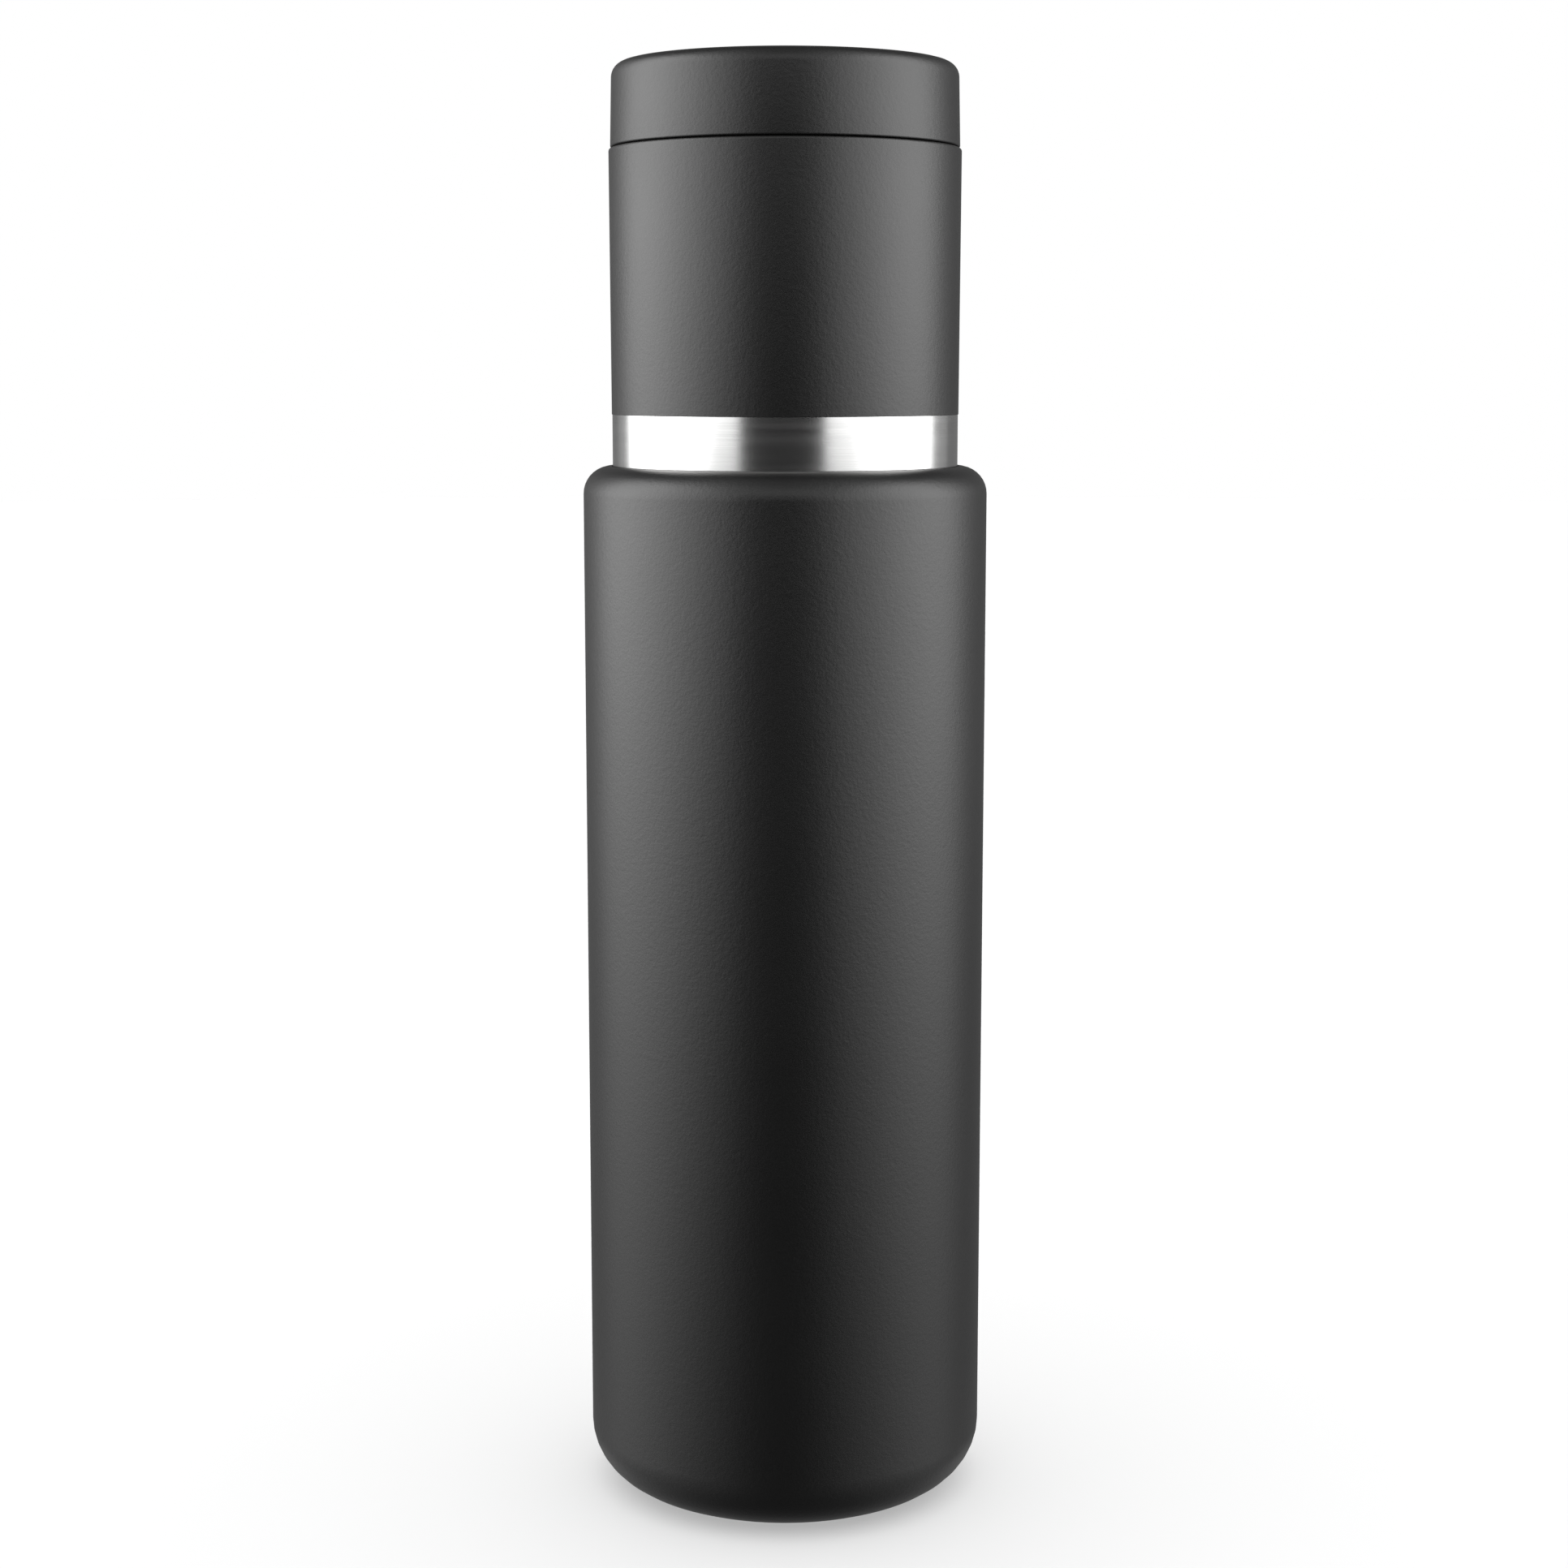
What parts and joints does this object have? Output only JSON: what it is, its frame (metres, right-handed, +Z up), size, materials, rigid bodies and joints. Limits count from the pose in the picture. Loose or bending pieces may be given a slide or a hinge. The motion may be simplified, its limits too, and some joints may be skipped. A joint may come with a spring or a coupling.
{
  "type": "vacuum flask",
  "caption": "Upright double-walled vacuum bottle in a matte black coat, with a screw-on drinking cup inverted over its neck and a screw cap on the cup's spout.",
  "frame": {"origin": "centre of the foot's lower face, where the bottle stands", "axes": "+Z up along the bottle's axis, towards the cap; +X and +Y are equal, because the outside is round"},
  "size_m": [0.072, 0.072, 0.2575],
  "materials": {
    "body_coat": "matte fine powder coat on stainless steel",
    "cup_coat_and_lip": "matte fine powder coat on stainless steel, with a bare brushed lip below it",
    "bright_steel": "satin stainless steel",
    "brushed_steel": "brushed stainless steel",
    "copper_foil": "bright thin copper foil",
    "solder_glass": "dark glossy solder glass",
    "getter_alloy": "grey sintered alloy",
    "silicone": "matte silicone",
    "moulded_plastic": "satin moulded polypropylene",
    "foam": "matte closed-cell foam"
  },
  "bodies": {
    "bottle": {"outer_shell": "body_coat", "inner_vessel": "bright_steel", "neck_thread_ring": "bright_steel", "reflective_foil": "copper_foil", "base_plate": "brushed_steel", "vacuum_seal_bead": "solder_glass", "getter_holder": "brushed_steel", "getter_pellet": "getter_alloy", "base_pad": "silicone"},
    "cup_seal": {"cup_gasket": "silicone"},
    "cup": {"cup_sleeve": "cup_coat_and_lip", "cup_liner": "bright_steel", "cup_thread_ring": "moulded_plastic", "spout": "moulded_plastic", "spout_flange_gasket": "silicone", "spout_nut": "moulded_plastic", "spout_nut_gasket": "silicone"},
    "cap_seal": {"cap_gasket": "silicone"},
    "cap": {"cap_shell": "body_coat", "cap_core": "moulded_plastic", "cap_foam": "foam", "cap_plate": "bright_steel"}
  },
  "joints": [
    {"name": "cup_lift", "type": "slide", "parent": "bottle", "child": "cup_seal", "axis": [0, 0, 1], "range_m": [0, 0.0252]},
    {"name": "cup_turn", "type": "hinge", "parent": "cup_seal", "child": "cup", "pos_m": [0, 0, 0.2], "axis": [0, 0, 1], "range_deg": [0, 860]},
    {"name": "cap_lift", "type": "slide", "parent": "cup", "child": "cap_seal", "axis": [0, 0, 1], "range_m": [0, 0.0124]},
    {"name": "cap_turn", "type": "hinge", "parent": "cap_seal", "child": "cap", "pos_m": [0, 0, 0.25], "axis": [0, 0, 1], "range_deg": [0, 740]}
  ],
  "couplings": [
    {"joint": "cup_lift", "follows": "cup_turn", "m_per_rad": 0.0016711},
    {"joint": "cap_lift", "follows": "cap_turn", "m_per_rad": 0.00095493}
  ]
}
